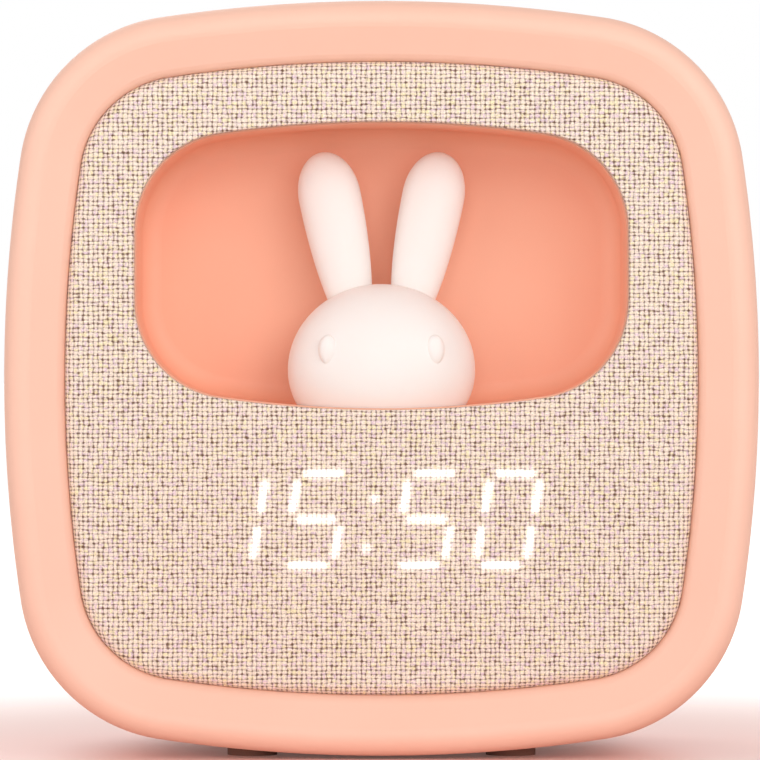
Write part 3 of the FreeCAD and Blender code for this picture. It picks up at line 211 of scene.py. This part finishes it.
def outline(shape, inset):
    """Points of an outline and the way it faces at each, in mm about the case's centre."""
    (half_x, half_z), (side, top), corner = shape["half"], shape["wide"], shape["corner"]
    side_x, top_z = half_x - side, half_z - top
    span = math.hypot(side_x, top_z)
    along = ((side - corner) ** 2 - (top - corner) ** 2 + span ** 2) / (2 * span)
    off = math.sqrt((side - corner) ** 2 - along ** 2)
    x = side_x - along * side_x / span - off * top_z / span
    z = along * top_z / span - off * side_x / span
    first, last, quarter = math.atan2(z, x - side_x), math.atan2(z - top_z, x), math.pi / 2
    stops = [first * k / SIDE_STEPS for k in range(SIDE_STEPS)]
    stops += [first + (last - first) * k / CORNER_STEPS for k in range(CORNER_STEPS)]
    stops += [last + (quarter - last) * k / SIDE_STEPS for k in range(SIDE_STEPS + 1)]
    back = stops[::-1]
    turns = stops[:-1] + [2 * quarter - t for t in back][:-1]
    turns += [2 * quarter + t for t in stops][:-1] + [4 * quarter - t for t in back][:-1]
    points = []
    for turn in turns:
        way = Vector((math.cos(turn), math.sin(turn)))
        folded = math.atan2(abs(way.y), abs(way.x))
        if folded <= first:
            middle, radius = (side_x, 0.0), side
        elif folded <= last:
            middle, radius = (x, z), corner
        else:
            middle, radius = (0.0, top_z), top
        reach = radius - inset
        point = Vector((math.copysign(middle[0] + reach * abs(math.cos(folded)), way.x),
                        math.copysign(middle[1] + reach * math.sin(folded), way.y)))
        points.append((point + Vector((0, shape["up"])), way))
    return points


print("window outline:", len(outline(WINDOW, 0)), "points")

# %% [markdown]
# The cloth is one flat piece, cut square with a window in it. It is stretched over the front
# panel, turned back round the panel's rounded rim, and turned in round the window. Simulating it
# would only find that same tight shape again, so it is modelled directly. A ring of edges is
# extruded again and again over the rounded rim, a second ring over the window's edge, and the flat
# front between them is filled. Each point also keeps its place on the cloth before it was
# stretched, by the length of cloth used up on the way there. The weave follows those flat places,
# so its threads run straight over the front and bend over the rim as real ones do.

# %% Sizes of the cloth
CLOTH_FRONT = -37.6
RIM_INSET, RIM_ROUND, RIM_BACK = 12.04, 2.4, -28.5
COLLAR_OUTSET, COLLAR_ROUND, COLLAR_BACK = 0.3, 0.4, -34.5
SUPPORT = 0.6
BEND_STEPS = 9


def turned_back(shape, start_inset, sign, radius, back_y):
    """Rings that take the cloth from the flat front round an edge, each with its flat places."""
    flat_ring = outline(shape, start_inset + sign * SUPPORT)
    rings = [[(p, p, CLOTH_FRONT) for p, way in flat_ring]]
    edge = outline(shape, start_inset)
    for step in range(BEND_STEPS + 2):
        bend = math.radians(90) * min(step, BEND_STEPS) / BEND_STEPS
        inset = start_inset - sign * radius * math.sin(bend)
        last = step > BEND_STEPS
        y = back_y if last else CLOTH_FRONT + radius * (1 - math.cos(bend))
        used = radius * bend + (y - CLOTH_FRONT - radius if last else 0)
        ring = outline(shape, inset)
        rings.append([(p, e + sign * used * way, y)
                      for (p, way), (e, _) in zip(ring, edge)])
    return rings


rim_rings = turned_back(CASE, RIM_INSET + RIM_ROUND, 1, RIM_ROUND, RIM_BACK)
collar_rings = turned_back(WINDOW, -COLLAR_OUTSET - COLLAR_ROUND, -1, COLLAR_ROUND, COLLAR_BACK)
cut_half = max(flat.x for _, flat, _ in rim_rings[-1])
print("the cloth is cut", round(2 * cut_half, 1), "mm square")

# %% Extrude the cloth's edges
# The two circles only give the rings their vertices, so their own radii in metres don't matter.
RIM_START, WINDOW_START = 0.06, 0.04
bpy.ops.object.select_all(action="DESELECT")
bpy.ops.mesh.primitive_circle_add(vertices=len(rim_rings[0]), radius=RIM_START)
cloth = bpy.context.object
cloth.name = cloth.data.name = "cloth_cover"
bpy.ops.object.mode_set(mode="EDIT")
mesh = bmesh.from_edit_mesh(cloth.data)
number = mesh.verts.layers.int.new("number")
flat_place = mesh.verts.layers.float_vector.new("flat_place")


def lay_ring(ring):
    """Moves the selected vertices to their places on one ring of the cloth."""
    mesh = bmesh.from_edit_mesh(cloth.data)
    number = mesh.verts.layers.int["number"]
    flat_place = mesh.verts.layers.float_vector["flat_place"]
    for vertex in mesh.verts:
        if vertex.select:
            point, flat, y = ring[vertex[number]]
            vertex.co = Vector((point.x, y, point.y + CASE_UP)) * MM
            vertex[flat_place] = Vector((flat.x, flat.y, 0.0))
    bmesh.update_edit_mesh(cloth.data)


for rings in (rim_rings, collar_rings):
    if rings is collar_rings:
        bpy.ops.mesh.select_all(action="DESELECT")
        bpy.ops.mesh.primitive_circle_add(vertices=len(rings[0]), radius=WINDOW_START)
    mesh = bmesh.from_edit_mesh(cloth.data)
    number = mesh.verts.layers.int["number"]
    for count, vertex in enumerate(v for v in mesh.verts if v.select):
        vertex[number] = count
    lay_ring(rings[0])
    for ring in rings[1:]:
        bpy.ops.mesh.extrude_region_move()
        lay_ring(ring)
print("cloth edges:", len(bmesh.from_edit_mesh(cloth.data).verts), "vertices")

# %% [markdown]
# Behind the cloth, light guides shape the figures, and their light spreads in the threads, so each
# stroke has a soft edge. The glow is stored in the mesh as one number per point. That needs points
# closer together than a stroke is wide, so a fine grid goes into the cloth over the display, and
# the fill operator joins the grid, the rim and the window into one sheet.

# %% Fill the flat front
DISPLAY_MIDDLE = (-2.05, -28.0)
DISPLAY_HALF = (36.0, 12.6)
GRID_STEP = 0.4
bpy.ops.mesh.select_all(action="DESELECT")
bpy.ops.mesh.primitive_grid_add(x_subdivisions=int(2 * DISPLAY_HALF[0] / GRID_STEP),
                                y_subdivisions=int(2 * DISPLAY_HALF[1] / GRID_STEP), size=2)
mesh = bmesh.from_edit_mesh(cloth.data)
flat_place = mesh.verts.layers.float_vector["flat_place"]
for vertex in mesh.verts:
    if vertex.select:
        x = DISPLAY_MIDDLE[0] + vertex.co.x * DISPLAY_HALF[0]
        z = DISPLAY_MIDDLE[1] + vertex.co.y * DISPLAY_HALF[1]
        vertex.co = Vector((x, CLOTH_FRONT, z + CASE_UP)) * MM
        vertex[flat_place] = Vector((x, z, 0.0))
bpy.ops.mesh.select_all(action="DESELECT")
ON_FRONT = 0.001
for edge in mesh.edges:
    flat_edge = all(abs(v.co.y / MM - CLOTH_FRONT) < ON_FRONT for v in edge.verts)
    if len(edge.link_faces) == 1 and flat_edge:
        edge.select_set(True)
bmesh.update_edit_mesh(cloth.data)
bpy.ops.mesh.fill(use_beauty=True)
bpy.ops.mesh.select_all(action="SELECT")
bpy.ops.mesh.normals_make_consistent(inside=False)
mesh = bmesh.from_edit_mesh(cloth.data)
front = max(mesh.faces, key=lambda face: face.calc_area())
if front.normal.y > 0:
    bpy.ops.mesh.flip_normals()
bpy.ops.object.mode_set(mode="OBJECT")
bpy.ops.object.shade_smooth()

# %% [markdown]
# The figures are seven-bar digits that lean a little. Each lit bar is a short line with a width,
# and the glow of a point falls off with its distance from the nearest line, fully bright inside
# the bar, soft over its edge, and with a faint halo where light creeps along the threads. The two
# dots of the colon are dimmer, because each has less area for its light.

# %% Figures that glow through the cloth
COLUMN, ROW, LEAN = 4.95, 9.1, math.tan(math.radians(9.6))
BAR_HALF, BAR_REACH, COLUMN_SPAN = 0.64, 3.2, (2.1, 6.9)
EDGE_SOFT, HALO, HALO_REACH = 1.5, 0.09, 1.1
DOT_SHARE, DOT_GROWN = 0.62, 0.25
DIGITS = {-27.2: "1", -11.0: "5", 11.0: "5", 27.2: "0"}
LIT = {"0": "abcdef", "1": "bc", "5": "acdfg"}
BARS = {
    "a": ((-BAR_REACH, ROW), (BAR_REACH, ROW)),
    "g": ((-BAR_REACH, 0.0), (BAR_REACH, 0.0)),
    "d": ((-BAR_REACH, -ROW), (BAR_REACH, -ROW)),
    "f": ((-COLUMN, COLUMN_SPAN[0]), (-COLUMN, COLUMN_SPAN[1])),
    "b": ((COLUMN, COLUMN_SPAN[0]), (COLUMN, COLUMN_SPAN[1])),
    "e": ((-COLUMN, -COLUMN_SPAN[0]), (-COLUMN, -COLUMN_SPAN[1])),
    "c": ((COLUMN, -COLUMN_SPAN[0]), (COLUMN, -COLUMN_SPAN[1])),
}
COLON = (4.9, -0.8)
strokes = [(middle, end_a, end_b) for middle, digit in DIGITS.items()
           for end_a, end_b in (BARS[bar] for bar in LIT[digit])]
strokes += [(0.0, (0.0, rise + COLON[1]), (0.0, rise + COLON[1])) for rise in (COLON[0], -COLON[0])]


def leaning(middle, end):
    """An upright figure's point, leant over, in mm about the case's centre."""
    return Vector((DISPLAY_MIDDLE[0] + middle + end[0] + LEAN * end[1], DISPLAY_MIDDLE[1] + end[1]))


lines = [(leaning(m, a), leaning(m, b)) for m, a, b in strokes]


def light_at(point):
    """How bright the cloth is at a flat place: 1 on a stroke, with a soft edge and a halo."""
    brightest = 0.0
    for start_point, end_point in lines:
        run = end_point - start_point
        share, level, grown = 0.0, DOT_SHARE, DOT_GROWN
        if run.length > 0:
            share = min(max((point - start_point).dot(run) / run.length_squared, 0.0), 1.0)
            level, grown = 1.0, 0.0
        off = (point - start_point - run * share).length - grown
        edge = min(max((BAR_HALF + EDGE_SOFT / 2 - off) / EDGE_SOFT, 0.0), 1.0)
        halo = HALO * math.exp(-max(off - BAR_HALF, 0.0) / HALO_REACH)
        brightest = max(brightest, level * (edge * edge * (3 - 2 * edge) + halo))
    return brightest


glow = cloth.data.attributes.new("glow", "FLOAT", "POINT")
flat_places = [Vector(item.vector[:2]) for item in cloth.data.attributes["flat_place"].data]
for place, item in zip(flat_places, glow.data):
    off_display = max(abs(place.x - DISPLAY_MIDDLE[0]) - DISPLAY_HALF[0],
                      abs(place.y - DISPLAY_MIDDLE[1]) - DISPLAY_HALF[1])
    item.value = light_at(place) if off_display < 0 else 0.0
weave_map = cloth.data.uv_layers.new(name="weave")
for loop, spot in zip(cloth.data.loops, weave_map.uv):
    spot.vector = flat_places[loop.vertex_index] / (2 * cut_half) + Vector((0.5, 0.5))
cloth.data.attributes.remove(cloth.data.attributes["flat_place"])
cloth.data.attributes.remove(cloth.data.attributes["number"])
print("lit strokes:", len(lines))

# %% [markdown]
# The cloth is a plain weave of spun cotton and linen: each thread goes over one and under the
# next. Counted in the photograph, the upright threads are 0.985 mm apart and the level ones
# 0.87 mm. In the shader each thread is a cosine hump across its width, and it rises and falls with
# a cosine along its length, the other way round on each next thread. The higher of the two
# threads shows. The corners where neither reaches stay open, and the shade in them is painted as a
# dark brown; the yarn is also painted darker down the sides of each hump, as shade. Slow noise moves
# the threads a little, as hand does in spun yarn, and a second noise gives cream, yellow and lilac
# flecks.

# %% Woven cloth
WARP_PITCH, WEFT_PITCH = 0.985, 0.87
WANDER, HUMP_POWER, HUMP, CRIMP = 0.95, 0.65, 0.58, 0.42
SLOW_ALONG, FLECK_APART, FLECK_ALONG, FLECK_SHIFT = 0.3, 3.7, 2.6, 7.0
woven, tree, shader = start("plain_weave_cotton_linen", Roughness=0.9, IOR=1.46,
                            Sheen_Weight=0.12, Sheen_Roughness=0.5, Specular_IOR_Level=0.25)
spot = node(tree, "UVMap", uv_map="weave").outputs[0]
axes = node(tree, "SeparateXYZ", {0: spot})
counts = {}
for name, axis, pitch in (("warp", 0, WARP_PITCH), ("weft", 1, WEFT_PITCH)):
    counts[name] = node(tree, "Math", {0: axes.outputs[axis], 1: 2 * cut_half / pitch},
                        operation="MULTIPLY").outputs[0]
threads = {}
for name, other, seed in (("warp", "weft", 0.0), ("weft", "warp", 31.7)):
    slow = node(tree, "Math", {0: counts[other], 1: SLOW_ALONG}, operation="MULTIPLY").outputs[0]
    path = node(tree, "CombineXYZ", {0: counts[name], 1: slow, 2: seed}).outputs[0]
    wander = node(tree, "TexNoise", {"Vector": path, "Scale": 1.1, "Detail": 2.0}).outputs[0]
    moved = node(tree, "Math", {0: wander, 1: WANDER, 2: counts[name]}, operation="MULTIPLY_ADD")
    turn = node(tree, "Math", {0: moved.outputs[0], 1: math.pi}, operation="MULTIPLY").outputs[0]
    wave = node(tree, "Math", {0: turn}, operation="COSINE").outputs[0]
    which = node(tree, "Math", {0: moved.outputs[0]}, operation="ROUND").outputs[0]
    threads[name] = {"wave": wave, "slow": slow, "which": which, "seed": seed}
for name, other, side in (("warp", "weft", CRIMP), ("weft", "warp", -CRIMP)):
    thread = threads[name]
    size = node(tree, "Math", {0: thread["wave"]}, operation="ABSOLUTE").outputs[0]
    hump = node(tree, "Math", {0: size, 1: HUMP_POWER}, operation="POWER").outputs[0]
    odd = node(tree, "Math", {0: thread["wave"]}, operation="SIGN").outputs[0]
    crimp = node(tree, "Math", {0: threads[other]["wave"], 1: odd}, operation="MULTIPLY").outputs[0]
    lift = node(tree, "Math", {0: crimp, 1: side}, operation="MULTIPLY").outputs[0]
    thread["height"] = node(tree, "Math", {0: hump, 1: HUMP, 2: lift},
                            operation="MULTIPLY_ADD").outputs[0]
    apart = node(tree, "Math", {0: thread["which"], 1: FLECK_APART}, operation="MULTIPLY").outputs[0]
    run = node(tree, "Math", {0: thread["slow"], 1: FLECK_ALONG}, operation="MULTIPLY").outputs[0]
    yarn = node(tree, "CombineXYZ", {0: apart, 1: run, 2: thread["seed"] + FLECK_SHIFT})
    fleck = node(tree, "TexNoise", {"Vector": yarn.outputs[0], "Scale": 1.6, "Detail": 3.0})
    thread["fleck"] = fleck.outputs[0]
top = node(tree, "Math", {0: threads["warp"]["height"], 1: threads["weft"]["height"]},
           operation="MAXIMUM").outputs[0]
warp_up = node(tree, "Math", {0: threads["warp"]["height"], 1: threads["weft"]["height"]},
               operation="GREATER_THAN").outputs[0]
fleck = node(tree, "Mix", {0: warp_up, 2: threads["weft"]["fleck"], 3: threads["warp"]["fleck"]},
             data_type="FLOAT").outputs[0]

# %% Colour of the yarn
SWELL, FIBRE_PATCH, THREAD_RISE, GLOW = 1.1, 0.3, 0.22, 0.9
yellow = node(tree, "MapRange", {"Value": fleck, "From Min": 0.54, "From Max": 0.64},
              interpolation_type="SMOOTHSTEP").outputs[0]
lilac = node(tree, "MapRange", {"Value": fleck, "From Min": 0.46, "From Max": 0.36},
             interpolation_type="SMOOTHSTEP").outputs[0]
warm = node(tree, "Mix", {0: yellow, 6: linear("FFEBDA"), 7: linear("FDECC4")}, data_type="RGBA")
yarn = node(tree, "Mix", {0: lilac, 6: warm.outputs[2], 7: linear("F1D7DD")}, data_type="RGBA")
# Spun yarn swells and thins, so some of the holes between threads close and others widen.
grid_place = node(tree, "CombineXYZ", {0: counts["warp"], 1: counts["weft"]}).outputs[0]
swell = node(tree, "TexNoise", {"Vector": grid_place, "Scale": 0.8, "Detail": 3.0}).outputs[0]
cover = node(tree, "Math", {0: swell, 1: SWELL, 2: top}, operation="MULTIPLY_ADD").outputs[0]
gap_shade_mask = node(tree, "MapRange", {"Value": cover, "From Min": 0.72, "From Max": 1.3},
                interpolation_type="SMOOTHSTEP").outputs[0]
# Painted shade: where the threads leave a gap open, the cloth is coloured dark brown.
dressed = node(tree, "Mix", {0: gap_shade_mask, 6: linear("86634F"), 7: yarn.outputs[2]},
               data_type="RGBA")
# Painted shade: the yarn is darkened down the sides of each thread, to 0.7 where it dips lowest.
painted_thread_shade = node(tree, "MapRange", {"Value": top, "From Min": 0.3, "From Max": 0.95,
                                      "To Min": 0.7, "To Max": 1.0}).outputs[0]
yarn_with_painted_shade = node(tree, "VectorMath", {0: dressed.outputs[2], "Scale": painted_thread_shade}, operation="SCALE")
# Loose fibres scatter light unevenly, in patches of about a third of a millimetre.
fibres = node(tree, "TexNoise", {"Vector": spot, "Scale": 2 * cut_half / FIBRE_PATCH, "Detail": 1.0})
uneven = node(tree, "MapRange", {"Value": fibres.outputs[0], "From Min": 0.3, "From Max": 0.7,
                                 "To Min": 0.77, "To Max": 1.16}).outputs[0]
hairy = node(tree, "VectorMath", {0: yarn_with_painted_shade.outputs[0], "Scale": uneven}, operation="SCALE")
tree.links.new(hairy.outputs[0], shader.inputs["Base Color"])
relief = node(tree, "Bump", {"Height": top, "Distance": THREAD_RISE * MM, "Strength": 0.8})
tree.links.new(relief.outputs[0], shader.inputs["Normal"])
lit = node(tree, "Attribute", attribute_name="glow", attribute_type="GEOMETRY").outputs["Fac"]
power = node(tree, "Math", {0: lit, 1: GLOW}, operation="MULTIPLY").outputs[0]
shader.inputs["Emission Color"].default_value = linear("FFF8F2")
tree.links.new(power, shader.inputs["Emission Strength"])
finishes["cloth"] = woven
cloth.data.materials.append(woven)
print("cloth shader:", len(tree.nodes), "nodes")

# %% Dress the parts and place the cloth
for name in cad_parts:
    for slot in bpy.data.objects[name].material_slots:
        slot.material = finishes[slot.material.name.split(".")[0]]
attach(cloth, "clock")
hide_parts("fabric_cover")
print("nodes dressed:", len(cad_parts))

# %% [markdown]
# The clock stands on a plain pale table in soft studio light. The background is white because the
# world shows white to the camera, in shiny surfaces and through glass, while what lights the object
# stays at a plain level. The satin table keeps the clock's soft shadow. Round the clock it has a
# painted reflection of the shell: its colour is pale pink there, and it glows faintly pink, in place
# of the light the shell throws on it. Further out it is lifted to white for the camera.

# %% Floor and world


def seen_rays(tree):
    """1 for what the camera sees straight, in a shiny surface or through glass, else 0."""
    rays = node(tree, "LightPath").outputs
    straight = node(tree, "Math", {0: rays["Is Camera Ray"], 1: rays["Is Glossy Ray"]},
                    operation="MAXIMUM").outputs[0]
    return node(tree, "Math", {0: straight, 1: rays["Is Transmission Ray"]},
                operation="MAXIMUM").outputs[0]


bpy.ops.object.select_all(action="DESELECT")
bpy.ops.mesh.primitive_plane_add(size=200.0)
floor = bpy.context.object
floor.name = floor.data.name = "studio_floor"
paint, tree, shader = start("satin_white_table", Roughness=0.32, IOR=1.45)
place = node(tree, "TexCoord").outputs["Object"]
cloud = node(tree, "TexNoise", {"Vector": place, "Scale": 3.0, "Detail": 1.0}).outputs[0]
away = node(tree, "VectorMath", {0: place}, operation="LENGTH").outputs["Value"]
# Painted reflection: the floor's colour is the shell's pale pink near the clock and fades to white
# between 0.07 m and 0.24 m out.
share = node(tree, "MapRange", {"Value": away, "From Min": 0.07, "From Max": 0.24},
             interpolation_type="SMOOTHSTEP").outputs[0]
plain = node(tree, "Mix", {0: cloud, 6: linear("FBF8F6"), 7: linear("F9F5F3")}, data_type="RGBA")
tone = node(tree, "Mix", {0: share, 6: linear("F5CAC0"), 7: plain.outputs[2]}, data_type="RGBA")
tree.links.new(tone.outputs[2], shader.inputs["Base Color"])
# Painted glow: near the clock the floor glows pink at 0.1 to the camera; further out the lift grows to
# 0.42 and is white.
lift_and_painted_glow_level = node(tree, "MapRange", {"Value": share, "To Min": 0.1, "To Max": 0.42}).outputs[0]
lift = node(tree, "Math", {0: seen_rays(tree), 1: lift_and_painted_glow_level}, operation="MULTIPLY").outputs[0]
tree.links.new(tone.outputs[2], shader.inputs["Emission Color"])
tree.links.new(lift, shader.inputs["Emission Strength"])
floor.data.materials.append(paint)

world = bpy.data.worlds.new("studio_air")
world.use_nodes = True
bpy.context.scene.world = world
tree = world.node_tree
tree.nodes.clear()
AIR_LIGHT = 0.44
strength = node(tree, "MapRange", {"Value": seen_rays(tree), "To Min": AIR_LIGHT,
                                   "To Max": 1.0}).outputs[0]
air = node(tree, "Background", {"Color": linear("FFFFFF"), "Strength": strength})
node(tree, "OutputWorld", {"Surface": air.outputs[0]})

# %% [markdown]
# Four large, soft lamps light the clock: two from the front corners, one straight in front, and a
# weak one behind. The last one only keeps the back of the shell from looking dull, because the
# photograph is taken from the front. Each has its place and width in metres and its power in watts.

# %% Lamps
LAMPS = {
    "key_lamp": ((0.95, -1.25, 0.7), 0.9, 8.0),
    "fill_lamp": ((-1.3, -1.1, 0.65), 1.2, 7.0),
    "front_lamp": ((0.15, -2.2, 0.25), 1.6, 17.5),
    "back_lamp": ((-0.5, 1.5, 1.3), 1.2, 6.0),
}
aim = Vector((0.0, 0.0, CASE_UP * MM))
for name, (spot, size, watts) in LAMPS.items():
    way = (Vector(spot) - aim).to_track_quat("Z", "Y").to_euler()
    bpy.ops.object.light_add(type="AREA", location=spot, rotation=way)
    lamp = bpy.context.object
    lamp.name = lamp.data.name = name
    lamp.data.size, lamp.data.energy = size, watts
print("lamps:", list(LAMPS))

# %% [markdown]
# The photograph shows the window's ceiling but not its sill, and both sides alike. So the camera
# is level with the clock's middle, straight in front, about a metre away. The lens follows from
# the frame: the shell is 755 of the 760 pixels wide.

# %% Camera
STANDOFF, FOCAL_PIXELS, FRAME_PIXELS, SENSOR = 1000.0, 5051.0, 760.0, 36.0
CAMERA_X, CAMERA_Z = -0.3, CASE_UP - 0.34
bpy.ops.object.camera_add(location=(CAMERA_X * MM, (-40.0 - STANDOFF) * MM, CAMERA_Z * MM),
                          rotation=(math.radians(90), 0, 0))
camera = bpy.context.object
camera.data.sensor_width = SENSOR
camera.data.lens = SENSOR * FOCAL_PIXELS / FRAME_PIXELS
bpy.context.scene.camera = camera
bpy.context.scene.view_settings.view_transform = "Standard"
print("lens:", round(camera.data.lens, 1), "mm")
